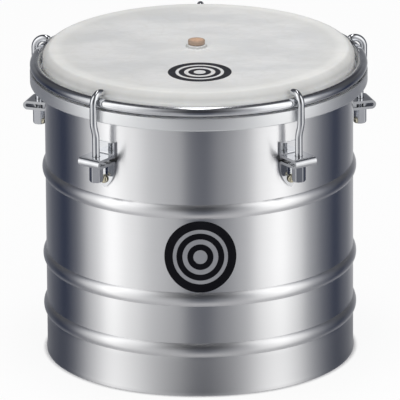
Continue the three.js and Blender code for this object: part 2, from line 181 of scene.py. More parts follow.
def rounded(points, radii, steps, closed=True):
    """An outline with a radius for each corner."""
    count = len(points)
    out = []
    for n, (corner, radius) in enumerate(zip(points, radii)):
        if radius == 0 or (not closed and n in (0, count - 1)):
            out.append(tuple(corner))
            continue
        here = Vector(corner)
        before, after = Vector(points[n - 1]) - here, Vector(points[(n + 1) % count]) - here
        half = before.angle(after) / 2
        reach = min(radius / math.tan(half), 0.48 * before.length, 0.48 * after.length)
        a, b = here + before.normalized() * reach, here + after.normalized() * reach
        for i in range(steps + 1):
            t = i / steps
            out.append(tuple(a * (1 - t) ** 2 + here * 2 * t * (1 - t) + b * t * t))
    return out


def smooth_line(points, steps):
    """A curve through points."""
    p = [Vector(q) for q in points]
    p = [2 * p[0] - p[1]] + p + [2 * p[-1] - p[-2]]
    out = []
    for i in range(1, len(p) - 2):
        for k in range(steps):
            t = k / steps
            q = 0.5 * ((2 * p[i]) + (p[i + 1] - p[i - 1]) * t
                       + (2 * p[i - 1] - 5 * p[i] + 4 * p[i + 1] - p[i + 2]) * t * t
                       + (3 * p[i] - p[i - 1] - 3 * p[i + 1] + p[i + 2]) * t ** 3)
            out.append(tuple(q))
    out.append(tuple(p[-2]))
    return out


def band(line, thickness):
    """Closed outline of a strip of even thickness along an open middle line."""
    points = [Vector(p) for p in line]
    one, other = [], []
    for n, here in enumerate(points):
        along = (points[min(n + 1, len(points) - 1)] - points[max(n - 1, 0)]).normalized()
        side = Vector((-along.y, along.x)) * thickness / 2
        one.append(tuple(here + side))
        other.append(tuple(here - side))
    return one + other[::-1]


def sweep(points, radius, sides=24, rounds=(False, False), closed=False):
    """A round rod along points; radius is a number or a function of (place, angle)."""
    path = [Vector(p) for p in points]
    places = [0.0]
    for a, b in zip(path, path[1:]):
        places.append(places[-1] + (b - a).length)
    size = radius if callable(radius) else lambda place, angle: radius
    tangents = []
    for n in range(len(path)):
        before = path[n - 1] if (n or closed) else path[0]
        after = path[(n + 1) % len(path)] if (n < len(path) - 1 or closed) else path[-1]
        tangents.append((after - before).normalized())
    side = tangents[0].orthogonal().normalized()
    if abs(tangents[0].y) < 0.9:
        side = (Vector((0, 1, 0)) - tangents[0] * tangents[0].y).normalized()
    sides_of = []
    for t in tangents:
        side = (side - t * side.dot(t)).normalized()
        sides_of.append(side)

    def dome(n, way):
        """Six shrinking rings that round off an end."""
        turns = [math.pi / 2 * i / 6.4 for i in range(1, 7)]
        out = way * size(places[n], 0) * tangents[n]
        return [(path[n] + out * math.sin(a), tangents[n], sides_of[n], places[n], math.cos(a))
                for a in turns]
    rings = [(p, t, s, place, 1.0) for p, t, s, place in zip(path, tangents, sides_of, places)]
    if rounds[0]:
        rings = dome(0, -1)[::-1] + rings
    if rounds[1]:
        rings += dome(-1, 1)
    verts = []
    for p, t, s, place, shrink in rings:
        other = t.cross(s)
        for k in range(sides):
            angle = TAU * k / sides
            r = size(place, angle) * shrink
            verts.append(tuple(p + s * r * math.cos(angle) + other * r * math.sin(angle)))
    faces = grid_faces(len(rings), sides, closed, True)
    if not closed:
        faces.append(tuple(range(sides)))
        faces.append(tuple(range(len(verts) - sides, len(verts)))[::-1])
    return verts, faces


def finished(obj):
    """The object with its modifiers applied."""
    graph = bpy.context.evaluated_depsgraph_get()
    mesh = bpy.data.meshes.new_from_object(obj.evaluated_get(graph), depsgraph=graph)
    obj.modifiers.clear()
    old = obj.data
    obj.data = mesh
    bpy.data.meshes.remove(old)
    mesh.name = obj.name
    return obj


def cut(obj, *tools):
    for tool in tools:
        modifier = obj.modifiers.new("cut", "BOOLEAN")
        modifier.operation, modifier.solver, modifier.object = "DIFFERENCE", "EXACT", tool
    finished(obj)
    for tool in tools:
        mesh = tool.data
        bpy.data.objects.remove(tool)
        bpy.data.meshes.remove(mesh)
    return obj


def bevel(obj, width, segments):
    edge = obj.modifiers.new("edge", "BEVEL")
    edge.width, edge.segments, edge.limit_method = width * MM, segments, "ANGLE"
    edge.angle_limit = math.radians(50)


def along_radius(obj):
    """Lay an upright object down along a radius, at the height of the lug screws."""
    obj.data.transform(Matrix.Translation((0, 0, SCREW_Z * MM)) @ Matrix.Rotation(math.pi / 2, 4, "Y"))
    return obj


# Material helpers

def new_tree(name):
    material = bpy.data.materials.new(name)
    material.use_nodes = True
    tree = material.node_tree
    shader = next(n for n in tree.nodes if n.type == "BSDF_PRINCIPLED")
    return material, tree, shader


def fill(tree, made, values):
    """Link or set a node's inputs; a colour is given as three numbers."""
    for key, value in values.items():
        socket = made.inputs[key]
        if isinstance(value, bpy.types.NodeSocket):
            tree.links.new(value, socket)
        else:
            socket.default_value = (*value, 1.0) if socket.type == "RGBA" else value


def node(tree, kind, values=None, **props):
    made = tree.nodes.new("ShaderNode" + kind)
    for key, value in props.items():
        setattr(made, key, value)
    fill(tree, made, values or {})
    return made


def math_node(tree, operation, a, b=0.0, c=0.0):
    return node(tree, "Math", {0: a, 1: b, 2: c}, operation=operation).outputs[0]


def vector_math(tree, operation, *values):
    made = node(tree, "VectorMath", dict(enumerate(values)), operation=operation)
    return made.outputs["Value" if operation == "LENGTH" else "Vector"]


def scaled(tree, tone, factor):
    return node(tree, "VectorMath", {0: tone, 3: factor}, operation="SCALE").outputs[0]


def mix(tree, factor, a, b):
    return node(tree, "Mix", {0: factor, 6: a, 7: b}, data_type="RGBA", blend_type="MIX").outputs[2]


def mix_value(tree, factor, a, b):
    return node(tree, "Mix", {0: factor, 2: a, 3: b}, data_type="FLOAT").outputs[0]


def ramp(tree, value, low, high, to_low=0.0, to_high=1.0):
    """A smooth step from one level to another as the value goes from low to high."""
    values = {"Value": value, "From Min": low, "From Max": high, "To Min": to_low, "To Max": to_high}
    return node(tree, "MapRange", values, interpolation_type="SMOOTHSTEP").outputs[0]


def tint(tree, tone, shade, value, low, high, to_low=0.0, to_high=1.0):
    """The tone, turned towards a shade as the value goes from low to high."""
    return mix(tree, ramp(tree, value, low, high, to_low, to_high), tone, shade)


def place(tree, offset=(0, 0, 0), scale=(1, 1, 1)):
    """Object coordinates less an offset, then scaled."""
    coordinates = node(tree, "TexCoord").outputs["Object"]
    return vector_math(tree, "MULTIPLY", vector_math(tree, "SUBTRACT", coordinates, offset), scale)


def parts_of(tree, at):
    """A place's level part, its distance from the axis, its x and its height."""
    parts = node(tree, "SeparateXYZ", {0: at}).outputs
    flat = node(tree, "CombineXYZ", {"X": parts[0], "Y": parts[1]}).outputs[0]
    return flat, vector_math(tree, "LENGTH", flat), parts[0], parts[2]


def distance(tree, flat, x, y):
    """Level distance from a point given in millimetres."""
    return vector_math(tree, "LENGTH", vector_math(tree, "SUBTRACT", flat, (x * MM, y * MM, 0)))


def noise_at(tree, vector, scale=1.0, detail=4.0, roughness=0.55):
    values = {"Vector": vector, "Scale": scale, "Detail": detail, "Roughness": roughness}
    return node(tree, "TexNoise", values).outputs["Fac"]


def bump(tree, height, strength, distance, before=None):
    values = {"Strength": strength, "Distance": distance, "Height": height}
    if before is not None:
        values["Normal"] = before
    return node(tree, "Bump", values).outputs[0]


def shaded(base, share):
    return tuple(share * c for c in base)


def ring_mask(tree, far, size):
    """A plain mark of two rings and a dot, by distance from its middle."""
    soft = 0.0002
    dot = MARK_SHARES[0][1] * size
    total = ramp(tree, far, dot + soft, dot - soft)
    for low, high in MARK_SHARES[1:]:
        edge_in = ramp(tree, far, low * size - soft, low * size + soft)
        edge_out = ramp(tree, far, high * size + soft, high * size - soft)
        total = math_node(tree, "ADD", total, math_node(tree, "MULTIPLY", edge_in, edge_out))
    return math_node(tree, "MINIMUM", total, 1.0)


# Materials; their distances are metres

def spun_metal(name, base, rough, aniso, metallic=1.0):
    """Metal brushed round the drum: fine rings of streaks; towards the floor a little rougher, and darker
    in colour as painted shade.
    """
    material, tree, shader = new_tree(name)
    tangent = node(tree, "Tangent", direction_type="RADIAL", axis="Z").outputs[0]
    coarse = noise_at(tree, place(tree, scale=(9, 9, 520)), 1.0, 5)
    fine = noise_at(tree, place(tree, scale=(26, 26, 3400)), 1.0, 3)
    cloud = noise_at(tree, place(tree), 14.0, 3)
    streaks = math_node(tree, "MULTIPLY", math_node(tree, "ADD", coarse, fine), 0.5)
    height = parts_of(tree, place(tree))[3]
    low = ramp(tree, height, 0.115, 0.030)
    lowest = ramp(tree, height, 0.036, 0.029, 0.0, 0.11)
    tone = tint(tree, shaded(base, 0.99), base, streaks, 0.36, 0.64)
    tone = tint(tree, tone, (0.62, 0.62, 0.63), cloud, 0.3, 0.75, 0.0, 0.06)
    # Painted shade: the colour is a tenth darker towards the floor
    tone = mix(tree, low, tone, shaded(base, 0.90))
    grain = ramp(tree, streaks, 0.3, 0.7, rough - 0.004, rough + 0.004)
    grain = math_node(tree, "MULTIPLY_ADD", low, 0.03, grain)
    fill(tree, shader, {
        "Metallic": metallic, "Anisotropic": aniso, "Anisotropic Rotation": 0.25, "Tangent": tangent,
        "Base Color": tone, "Roughness": math_node(tree, "ADD", grain, lowest),
        "Normal": bump(tree, streaks, 0.0025, 0.00002)})
    return material


def polished(name, base, rough, dull=0.08):
    """Plated metal: a clear polish with finger smears and pin-fine pits."""
    material, tree, shader = new_tree(name)
    smear = noise_at(tree, place(tree, scale=(60, 60, 38)), 1.0, 5)
    pits = noise_at(tree, place(tree), 1500.0, 2)
    fill(tree, shader, {
        "Metallic": 1.0, "Base Color": tint(tree, base, shaded(base, 0.90), smear, 0.35, 0.7),
        "Roughness": ramp(tree, smear, 0.3, 0.75, rough, rough + dull),
        "Normal": bump(tree, pits, 0.05, 0.00002)})
    return material


def skin_material(name, marked):
    """Natural skin: cloudy, faintly veined, with painted light and shade near its rim and round the stick;
    marked adds a round black print.
    """
    material, tree, shader = new_tree(name)
    offset = (0, AXIS_Y * MM, 0)
    flat, reach, x, height = parts_of(tree, place(tree, offset))
    clouds = noise_at(tree, place(tree, offset, (16, 30, 16)), 1.0, 5, 0.6)
    mottle = noise_at(tree, place(tree, offset, (95, 140, 95)), 1.0, 4, 0.65)
    grain = noise_at(tree, place(tree, offset), 1400.0, 3)
    veins = node(tree, "TexVoronoi", {"Vector": place(tree, offset, (40, 55, 40)), "Scale": 1.0},
                 feature="DISTANCE_TO_EDGE").outputs["Distance"]
    tone = tint(tree, (0.60, 0.605, 0.605), (0.70, 0.70, 0.695), clouds, 0.36, 0.66)
    tone = tint(tree, tone, (0.57, 0.565, 0.54), mottle, 0.45, 0.75, 0.0, 0.25)
    tone = tint(tree, tone, (0.50, 0.48, 0.44), veins, 0.0, 0.07, 0.10, 0.0)
    tone = tint(tree, tone, (0.66, 0.655, 0.62), reach, 0.085, 0.126, 0.0, 0.5)
    # Painted light and shade: darker out near the rim, a painted highlight from where the shoulder starts,
    # brighter down the shoulder towards the ring, and lighter from left to right
    painted_light_and_shade = ramp(tree, reach, 0.1216, 0.1250, 1.0, 0.80)
    for value, low, high, to_low, to_high in (
            (height, 0.2546, 0.2500, 1.0, 1.62),
            (reach, 0.110, 0.118, 1.0, 1.12),
            (x, -0.10, 0.10, 0.97, 1.05)):
        painted_light_and_shade = math_node(tree, "MULTIPLY", painted_light_and_shade, ramp(tree, value, low, high, to_low, to_high))
    tone = scaled(tree, tone, painted_light_and_shade)
    # The tucked edge, turned pale and cool as painted light in the gap under the ring; the drawn-up middle;
    # and the dark fold round the stick, which is painted shade
    tone = tint(tree, tone, (0.80, 0.805, 0.83), height, 0.2430, 0.2405)
    tone = tint(tree, tone, (0.74, 0.745, 0.73), reach, 0.012, 0.055, 0.35, 0.0)
    # Painted shade: a dark ring on the skin round the foot of its drawn-up sleeve
    from_stick = distance(tree, flat, STICK_X, 0)
    fold = math_node(tree, "MULTIPLY", ramp(tree, from_stick, 0.0074, 0.0081, 0.0, 0.6),
                     ramp(tree, from_stick, 0.0095, 0.0085))
    tone = mix(tree, fold, tone, (0.26, 0.26, 0.25))
    far = distance(tree, flat, PRINT_X, PRINT_Y)
    soft = 0.15
    inside = ramp(tree, far, (PRINT_R + soft) * MM, (PRINT_R - soft) * MM, 0.0, float(marked))
    rings = ring_mask(tree, far, PRINT_R * MM)
    ink = tint(tree, (0.012, 0.012, 0.016), (0.026, 0.026, 0.032), mottle, 0.4, 0.8)
    printed = math_node(tree, "MULTIPLY", inside, math_node(tree, "SUBTRACT", 1.0, rings))
    relief = bump(tree, grain, 0.10, 0.00008)
    relief = bump(tree, clouds, 0.35, 0.0012, relief)
    fill(tree, shader, {
        "Base Color": mix(tree, printed, tone, ink),
        "Roughness": mix_value(tree, printed, ramp(tree, mottle, 0.3, 0.8, 0.42, 0.56), 0.36),
        "Subsurface Weight": 0.08, "Subsurface Radius": (0.004, 0.003, 0.002), "Subsurface Scale": 0.5,
        "Normal": bump(tree, mottle, 0.16, 0.0004, relief)})
    return material


def cane_material():
    """Bamboo: long fibres, darker at its joints, with a scorched edge round the knob's top."""
    material, tree, shader = new_tree("bamboo_cane")
    _, reach, _, height = parts_of(tree, place(tree))
    fibres = noise_at(tree, place(tree, scale=(1500, 1500, 18)), 1.0, 5, 0.6)
    blotch = noise_at(tree, place(tree, scale=(170, 170, 60)), 1.0, 3)
    tone = tint(tree, (0.40, 0.22, 0.10), (0.60, 0.40, 0.20), fibres, 0.32, 0.68)
    tone = tint(tree, tone, (0.45, 0.30, 0.13), blotch, 0.4, 0.8, 0.0, 0.5)
    half_joint = (JOINTS[1] - JOINTS[0]) / 2 * MM
    above = math_node(tree, "SUBTRACT", height, JOINTS[-1] * MM)
    joint = math_node(tree, "PINGPONG", above, half_joint)
    tone = tint(tree, tone, (0.16, 0.09, 0.045), joint, 0.0026, 0.0004, 0.0, 0.7)
    rings = noise_at(tree, place(tree, scale=(420, 420, 60)), 1.0, 4)
    face = tint(tree, (0.60, 0.40, 0.275), (0.46, 0.295, 0.20), rings, 0.35, 0.7)
    uneven = math_node(tree, "ADD", reach, math_node(tree, "MULTIPLY", blotch, 0.0022))
    face = tint(tree, face, (0.33, 0.245, 0.185), uneven, 0.0056, 0.0074, 0.0, 0.85)
    fill(tree, shader, {
        "Base Color": tint(tree, tone, face, height, (KNOB_LOW - 1.4) * MM, (KNOB_LOW - 0.6) * MM),
        "Roughness": ramp(tree, fibres, 0.3, 0.7, 0.38, 0.58),
        "Normal": bump(tree, fibres, 0.30, 0.00012)})
    return material


def thread_material():
    """Waxed thread: pale and dark fibres, a little soiled."""
    material, tree, shader = new_tree("waxed_cord_fibre")
    fibre = noise_at(tree, place(tree, scale=(2600, 2600, 5200)), 1.0, 3)
    soil = noise_at(tree, place(tree), 260.0, 2)
    tone = tint(tree, (0.22, 0.155, 0.08), (0.42, 0.32, 0.18), fibre, 0.3, 0.7)
    fill(tree, shader, {
        "Base Color": tint(tree, tone, (0.14, 0.10, 0.06), soil, 0.45, 0.8, 0.0, 0.6),
        "Roughness": ramp(tree, fibre, 0.3, 0.7, 0.42, 0.62),
        "Normal": bump(tree, fibre, 0.5, 0.0001)})
    return material


def enamel(name, low, high, rough, metallic=0.0):
    """Printed or enamelled face of the badge: even, with dust-fine grain."""
    material, tree, shader = new_tree(name)
    dust = noise_at(tree, place(tree), 900.0, 3)
    haze = noise_at(tree, place(tree), 45.0, 3)
    fill(tree, shader, {
        "Metallic": metallic, "Specular IOR Level": 0.07,
        "Base Color": tint(tree, low, high, haze, 0.3, 0.75),
        "Roughness": ramp(tree, haze, 0.3, 0.75, rough, rough + 0.1),
        "Normal": bump(tree, dust, 0.06, 0.00003)})
    return material


SHELL_METAL = spun_metal("spun_aluminium", (0.93, 0.93, 0.935), 0.28, 0.80)
HOOP_METAL = spun_metal("satin_aluminium", (0.95, 0.96, 0.965), 0.40, 0.35, 0.86)
RING_METAL = polished("ring_chrome", (0.82, 0.83, 0.85), 0.11)
HOOK_METAL = polished("hook_chrome_plate", (0.80, 0.81, 0.83), 0.09)
LUG_METAL = polished("lug_chrome_plate", (0.74, 0.75, 0.77), 0.08)
NUT_METAL = polished("nut_chrome_plate", (0.72, 0.73, 0.76), 0.07)
SCREW_METAL = polished("screw_yellow_plate", (0.80, 0.74, 0.56), 0.16, 0.10)
INNER_METAL = polished("zinc_plate", (0.62, 0.63, 0.65), 0.30, 0.15)
SKIN_MATERIAL = skin_material("drum_skin", True)
SKIN_UNDER = skin_material("drum_skin_underside", False)
CANE = cane_material()
CORD = thread_material()
BLACK = enamel("black_enamel", (0.004, 0.004, 0.006), (0.007, 0.007, 0.010), 0.42)
SILVER = enamel("silver_print", (0.29, 0.295, 0.315), (0.34, 0.345, 0.365), 0.38, 0.3)


# Shell

def bead_faces(inset, steps):
    """The beads' outward arcs, from the lowest up; inset gives the inner side of the wall."""
    to_centre = ((BEAD_HEIGHT / 2) ** 2 - BEAD_DEPTH ** 2) / (2 * BEAD_DEPTH)
    radius = to_centre + BEAD_DEPTH - inset
    reach = math.degrees(math.asin(math.sqrt(radius ** 2 - (to_centre - inset) ** 2) / radius))
    out = []
    for middle in BEADS:
        out += arc((SHELL_R - to_centre, middle), radius, -reach, reach, steps)
    return out


def shell_outline():
    """Folded hem, outer side with its beads, rolled edge, and the inner side down again."""
    hem_out, hem_in, hem_top = SHELL_R + 0.5, SHELL_R - 1.8, 3.4
    hem_side, hem_end, wall_foot = 3.0, 6.5, 4.2
    roll = (SHELL_R - ROLL, SHELL_H - ROLL)
    hem = rounded([(hem_in, hem_top), (hem_in, 0), (hem_out, 0), (hem_out, hem_side), (SHELL_R, hem_end)],
                  [0, 0.5, 1.5, 2.2, 1.2], 6, closed=False)
    outer = hem + bead_faces(0, 18) + arc(roll, ROLL, 0, 90, 16)
    inner = arc(roll, ROLL - WALL, 90, 0, 12) + bead_faces(WALL, 12)[::-1]
    return outer + inner + [(SHELL_R - WALL, wall_foot)]


shell = build("spun_shell", *lathe(shell_outline()), SHELL_METAL, shift=False, sharp=24)
shell.location.y = AXIS_Y * MM
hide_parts("shell")
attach(shell, "drum")


def badge():
    """Badge on the front of the shell: a thin black plate with a raised silver mark."""
    steps, sink = 128, 0.05
    lifts = {"silver": 0.44, "black": 0.32, "edge": 0.10}
    inner = [share for pair in MARK_SHARES for share in pair][1:]
    stops = [0] + [share for share in inner for _ in (0, 1)] + [0.97, 1.0]
    levels = ["silver", "silver", "black", "black"] * 3 + ["edge"]
    rings = []
    for n in range(1, len(stops)):
        if stops[n] == stops[n - 1]:
            bank = 0.1 if levels[n] == "black" else 0.0
            rings.append((stops[n] * BADGE_R + bank, levels[n]))
            continue
        if stops[n] - stops[n - 1] > 0.1:
            rings.append(((stops[n - 1] + stops[n]) / 2 * BADGE_R, levels[n - 1]))
        rings.append((stops[n] * BADGE_R, levels[n]))

    def around(rho, r):
        """Points rho from the badge's middle and r from the drum's axis."""
        angles = [TAU * k / steps for k in range(steps)]
        turns = [BADGE_WIDE * rho * math.cos(a) / SHELL_R for a in angles]
        return [(r * math.sin(turn), -r * math.cos(turn), BADGE_Z + rho * math.sin(a))
                for turn, a in zip(turns, angles)]
    verts = []
    for rho, level in rings:
        verts += around(rho, SHELL_R + lifts[level])
    verts += around(BADGE_R, SHELL_R - sink)
    rows = len(rings)
    faces = grid_faces(rows + 1, steps, False, True)
    front, back = len(verts), len(verts) + 1
    verts += [(0, -SHELL_R - lifts["silver"], BADGE_Z), (0, sink - SHELL_R, BADGE_Z)]
    for k in range(steps):
        faces.append((front, (k + 1) % steps, k))
        faces.append((back, rows * steps + k, rows * steps + (k + 1) % steps))
    obj = build("shell_badge", verts, faces, BLACK, SILVER, shift=False, sharp=30)
    for face in obj.data.polygons:
        c = face.center / MM
        far = math.hypot(math.atan2(c.x, -c.y) * SHELL_R / BADGE_WIDE, c.z - BADGE_Z) / BADGE_R
        high = math.hypot(c.x, c.y) - SHELL_R > lifts["black"] + 0.01
        face.material_index = int(high and any(a - 0.01 < far < b + 0.01 for a, b in MARK_SHARES))
    obj.location.y = AXIS_Y * MM
    obj.rotation_euler.z = math.radians(BADGE_TURN)
    return obj


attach(badge(), "drum")


# Skin

def rim_line():
    """The skin's middle line: flat, over the bearing edge, down, up and over inside the flesh hoop."""
    flat = HEAD_TOP - SKIN / 2
    turn = HEAD_TOP - SHOULDER_Z - SKIN / 2
    down, up, end = SHOULDER_R + turn, 129.38, 132.62
    tuck, crest, stop = 231.9, 238.8, 235.4
    line = [(r, flat) for r in np.linspace(FLAT_R, SHOULDER_R, 14)[:-1]]
    line += arc((SHOULDER_R, SHOULDER_Z), turn, 90, 0, 28)
    line += [(down, z) for z in np.linspace(SHOULDER_Z, tuck, 14)[1:]]
    line += arc(((down + up) / 2, tuck), (up - down) / 2, 180, 360, 10)[1:]
    line += [(up, z) for z in np.linspace(tuck, crest, 6)[1:]]
    line += arc(((up + end) / 2, crest), (end - up) / 2, 180, 0, 12)[1:]
    return line + [(end, z) for z in np.linspace(crest, stop, 4)[1:]]


rim = build("skin_rim", *lathe(band(rim_line(), SKIN)), SKIN_MATERIAL, SKIN_UNDER)
for face in rim.data.polygons:
    face.material_index = int(face.normal.z < 0)
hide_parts("head_membrane", "head_collar")
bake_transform(rim)


def sector(number):
    """One sector of the flat skin, between the drawn-up middle and the rim."""
    radial_steps, round_steps = 20, 24
    start = TAU * number / SECTORS
    top, under = [], []
    for i in range(radial_steps + 1):
        t = i / radial_steps
        for j in range(round_steps + 1):
            angle = start + TAU / SECTORS * j / round_steps
            x = (1 - t) * (STICK_X + PUCKER_R * math.cos(angle)) + t * FLAT_R * math.cos(angle)
            y = (1 - t) * PUCKER_R * math.sin(angle) + t * FLAT_R * math.sin(angle)
            top.append((x, y, HEAD_TOP))
            under.append((x, y, HEAD_TOP - SKIN))
    n, m = radial_steps + 1, round_steps + 1
    count = n * m
    faces = grid_faces(n, m)
    faces += [tuple(v + count for v in reversed(f)) for f in grid_faces(n, m)]
    border = list(range(m)) + [i * m + m - 1 for i in range(1, n)]
    border += [(n - 1) * m + j for j in range(m - 2, -1, -1)] + [i * m for i in range(n - 2, 0, -1)]
    for a, b in zip(border, border[1:] + border[:1]):
        faces.append((b, a, a + count, b + count))
    obj = build(f"skin_sector_{number + 1}", top + under, faces, SKIN_MATERIAL, SKIN_UNDER)
    for face in obj.data.polygons:
        face.material_index = int(face.normal.z < 0.5)
    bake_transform(obj)
    return obj


def nub():
    """The middle of the skin, drawn up round the stick in pleats, with its bound tail below."""
    top = [(5.25, 2.4), (5.5, 2.65), (6.6, 2.75), (7.45, 2.6), (8.1, 2.05), (8.6, 1.3), (9.3, 0.65),
           (10.6, 0.28), (12.6, 0.12), (15.5, 0.04), (19.5, 0.0), (PUCKER_R, 0.0)]
    low = [(PUCKER_R, -SKIN), (18.0, -1.0), (13.0, -1.1), (10.4, -1.7), (8.7, -3.1), (7.6, -5.0),
           (6.7, -6.6), (6.15, -8.1), (6.0, -9.8), (6.0, -11.8), (6.15, -13.0), (6.05, -13.5),
           (5.25, -13.6)]
    inner = [(5.15, z) for z in (-10.3, -5.3, -0.3)]
    outline = [(r, z + HEAD_TOP) for r, z in smooth_line(top, 4) + smooth_line(low, 4) + inner]

    def pleat(r, z, angle):
        """Uneven folds: upright near the stick, lying further out, and round the tail."""
        fold = (0.55 * math.cos(15 * angle + 0.9 * math.sin(2 * angle)) + 0.30 * math.cos(23 * angle + 1.0)
                + 0.25 * math.cos(8 * angle + 2.0 + 0.5 * math.sin(3 * angle)))
        inward = max(0.0, min(1.0, (r - 5.4) / (1.2 if z > HEAD_TOP - 0.5 else 0.5)))
        if z > HEAD_TOP - 0.5:
            near = max(0.0, min(1.0, (PUCKER_R - 1.0 - r) / 13.0)) ** 1.6
            upright = max(0.0, min(1.0, (9.6 - r) / 1.6)) * inward
            sag = 0.10 * math.cos(3 * angle + 0.7) * near
            return r + 0.30 * fold * upright, z + 0.26 * fold * near * (1 - upright) + sag * upright
        return r + 0.22 * fold * max(0.0, min(1.0, (12.0 - r) / 4.0)) * inward, z
    obj = build("puckered_skin", *lathe(outline, 240, (STICK_X, 0.0), pleat), SKIN_MATERIAL, sharp=70)
    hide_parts("skin_nub")
    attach(obj, "stick_unit")
    return obj


skin_parts = [sector(n) for n in range(SECTORS)] + [nub()]


# Stick and thread

def stick():
    """A shaft with a ridge at each joint, and a knob with a hollow in its top."""
    foot, side, hollow = STICK_FOOT, STICK_R - 0.12, 0.5
    shaft = [(0, foot), (1.6, foot), (3.9, foot), (4.5, foot + 0.4), (STICK_R, foot + 1.1)]
    z = foot + 3.0
    while z < KNOB_LOW - 0.5:
        gap = z - min(JOINTS, key=lambda joint: abs(joint - z))
        ridge = swell(gap, 0.62, 0.75) - swell(gap - 2.0, 0.22, 0.6) + swell(gap, 0.10, 4.5)
        shaft.append((side + ridge, z))
        z += 0.4 if abs(gap) < 5 else 2.0
    neck = (STICK_R - 0.1, KNOB_LOW)
    knob = rounded([neck, (KNOB_R, KNOB_LOW), (KNOB_R, KNOB_TOP), (3.0, KNOB_TOP)], [0, 0.7, 0.8, 0], 5,
                   closed=False)
    face = [(2.4, KNOB_TOP), (1.1, KNOB_TOP - hollow / 2), (0.5, KNOB_TOP - hollow), (0, KNOB_TOP - hollow)]

    def uneven(r, z, angle):
        """Not quite round; the knob is chipped inward only."""
        c, s = math.cos(angle), math.sin(angle)
        wobble = noise.noise(Vector((c * 1.3, s * 1.3, z * 0.035))) * 0.16
        if z > KNOB_LOW - 1:
            chip = noise.noise(Vector((c * 2.6, s * 2.6, 4.0)))
            wobble = min(0.0, 0.30 * chip) * max(0.0, (r - 5.0) / 2.0)
        return min(r + wobble * min(1, r / 2), KNOB_R), z
    obj = build("bamboo_stick", *spindle(shaft + knob + face, 72, warp=uneven), CANE, shift=False, sharp=48)
    obj.location = (STICK_X * MM, AXIS_Y * MM, 0)
    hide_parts("stick")
    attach(obj, "stick_unit")


def binding():
    """Four turns of laid thread, two strands twisted on each other, ends lying beside the turns."""
    radius, pitch, turns, per_turn, tail = 6.95, 1.28, 4, 60, 14
    strand_r, lay_r, lays = 0.27, 0.23, 9
    middle = HEAD_TOP - 9.2
    low = middle - turns * pitch / 2
    verts, faces = [], []
    for strand in (0, 1):
        path = []
        for i in range(-tail, turns * per_turn + tail + 1):
            angle = TAU * i / per_turn
            lay = lays * angle + strand * math.pi
            r = radius + lay_r * math.cos(lay)
            z = low + pitch * i / per_turn + lay_r * math.sin(lay)
            path.append((STICK_X + r * math.cos(angle), r * math.sin(angle), z))
        more, more_faces = sweep(path, strand_r, 8, (True, True))
        faces += [tuple(v + len(verts) for v in f) for f in more_faces]
        verts += more
    obj = build("binding_thread", verts, faces, CORD, sharp=60)
    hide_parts("nub_binding")
    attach(obj, "stick_unit")


stick()
binding()


# Hoops

def flesh_hoop():
    inner, outer = HOOP_IN + HOOP_WALL, HOOP_OUT - HOOP_WALL
    web, lip = HOOP_LOW + HOOP_WALL, HOOP_TOP - 1.7
    corners = [(HOOP_IN, HOOP_LOW), (HOOP_OUT, HOOP_LOW), (HOOP_OUT, HOOP_TOP), (outer, HOOP_TOP),
               (outer, web), (inner, web), (inner, lip), (HOOP_IN, lip)]
    outline = rounded(corners, [1.0, 1.2, 0.7, 0.7, 0.9, 0.9, 0.7, 0.7], 5)
    obj = build("flesh_hoop_channel", *lathe(outline), HOOP_METAL, shift=False, sharp=40)
    obj.location.y = AXIS_Y * MM
    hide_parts("flesh_hoop")
    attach(obj, "hoop")


def counter_hoop():
    """A ring of rod, closed by a ground weld at the back."""
    steps, weld_step, rise = 360, 126, 0.02
    turns = [TAU * i / steps for i in range(steps)]
    path = [(RING_R * math.cos(a), RING_R * math.sin(a), RING_Z) for a in turns]
    weld = TAU * RING_R * weld_step / steps

    def size(place, angle):
        gap = place - weld
        return RING_ROD / 2 - rise + swell(gap, rise, 1.6) - swell(abs(gap) - 2.6, 0.09, 0.7)
    obj = build("ring_of_rod", *sweep(path, size, 32, closed=True), RING_METAL, shift=False, sharp=60)
    obj.location.y = AXIS_Y * MM
    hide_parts("counter_hoop")
    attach(obj, "hoop")


flesh_hoop()
counter_hoop()


# Tension stations: each piece is made once, by the x axis, and set five times round the drum

def hook_mesh():
    """A threaded leg with a pointed-off end, a jog outward, and a loop over the ring."""
    low, plain = NUT_LOW + 1.3, 205.0
    jog_low, jog_height = LUG_TOP + 15.1, 15.0
    thread_deep, thread_long, run_in, run_out = 0.55, 17.5, 0.4, 1.2
    point_long, point_deep, point_slope = 0.9, 0.75, 0.85
    outer = RING_R + LOOP_R
    path = [(HOOK_IN, 0, z) for z in np.arange(low, plain, 0.125)]
    path += [(HOOK_IN, 0, z) for z in np.linspace(plain, jog_low, 5)]
    for i in range(1, 25):
        t = i / 24
        r = HOOK_IN + (outer - HOOK_IN) * (1 - math.cos(math.pi * t)) / 2
        path.append((r, 0, jog_low + jog_height * t))
    path += [(outer, 0, z) for z in np.linspace(jog_low + jog_height, RING_Z, 12)[1:-1]]
    path += [(r, 0, z) for r, z in arc((RING_R, RING_Z), LOOP_R, 0, LOOP_TURN, 36)]

    def size(place, angle):
        r = HOOK_ROD / 2
        if place > thread_long:
            return r
        fade = max(0.0, min(1.0, place / run_in, (thread_long - place) / run_out))
        wave = (place - angle / TAU) % 1.0
        ridge = min(1.0, max(0.0, abs(wave - 0.5) * 2.6 - 0.15))
        cone = r - point_deep + point_slope * place if place < point_long else r
        return min(r - thread_deep * (1 - ridge) * fade, cone)
    return sweep(path, size, 32, (False, True))


